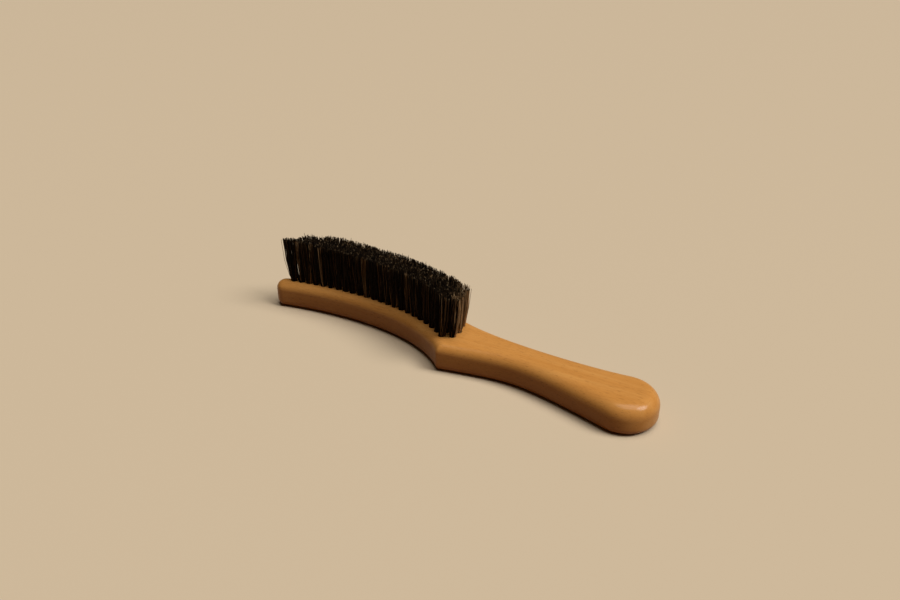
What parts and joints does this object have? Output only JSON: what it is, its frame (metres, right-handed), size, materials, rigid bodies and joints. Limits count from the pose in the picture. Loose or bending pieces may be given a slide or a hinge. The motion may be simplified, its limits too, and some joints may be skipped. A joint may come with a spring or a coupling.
{
  "type": "hat brush",
  "caption": "Hat brush with a one-piece varnished wooden stock: a crescent head set with rows of dark bristle tufts, and a curved, round-ended handle. For brushing felt hats.",
  "frame": {"origin": "under the middle of the stock, on the flat back that the brush lies on", "axes": "+X from the tip of the head to the end of the handle, +Y to the bulging side of the head, +Z the way the bristles point"},
  "size_m": [0.236, 0.0542, 0.0434],
  "materials": {
    "beech": "clear gloss varnish over fine-flecked beech",
    "bristle": "natural hair, near black with brown and blond strands, cut level",
    "anchor_wire": "flattened bare wire"
  },
  "bodies": {
    "root": {"stock": "beech", "bristles_near_row": "bristle", "bristles_second_row": "bristle", "bristles_third_row": "bristle", "bristles_far_row": "bristle", "anchor_near_1": "anchor_wire", "anchor_near_2": "anchor_wire", "anchor_near_3": "anchor_wire", "anchor_near_4": "anchor_wire", "anchor_near_5": "anchor_wire", "anchor_near_6": "anchor_wire", "anchor_near_7": "anchor_wire", "anchor_near_8": "anchor_wire", "anchor_near_9": "anchor_wire", "anchor_near_10": "anchor_wire", "anchor_near_11": "anchor_wire", "anchor_near_12": "anchor_wire", "anchor_near_13": "anchor_wire", "anchor_near_14": "anchor_wire", "anchor_near_15": "anchor_wire", "anchor_near_16": "anchor_wire", "anchor_near_17": "anchor_wire", "anchor_near_18": "anchor_wire", "anchor_near_19": "anchor_wire", "anchor_near_20": "anchor_wire", "anchor_near_21": "anchor_wire", "anchor_near_22": "anchor_wire", "anchor_near_23": "anchor_wire", "anchor_far_1": "anchor_wire", "anchor_far_2": "anchor_wire", "anchor_far_3": "anchor_wire", "anchor_far_4": "anchor_wire", "anchor_far_5": "anchor_wire", "anchor_far_6": "anchor_wire", "anchor_far_7": "anchor_wire", "anchor_far_8": "anchor_wire", "anchor_far_9": "anchor_wire", "anchor_far_10": "anchor_wire", "anchor_far_11": "anchor_wire", "anchor_far_12": "anchor_wire", "anchor_far_13": "anchor_wire", "anchor_far_14": "anchor_wire", "anchor_far_15": "anchor_wire", "anchor_far_16": "anchor_wire", "anchor_far_17": "anchor_wire", "anchor_far_18": "anchor_wire"}
  },
  "joints": []
}
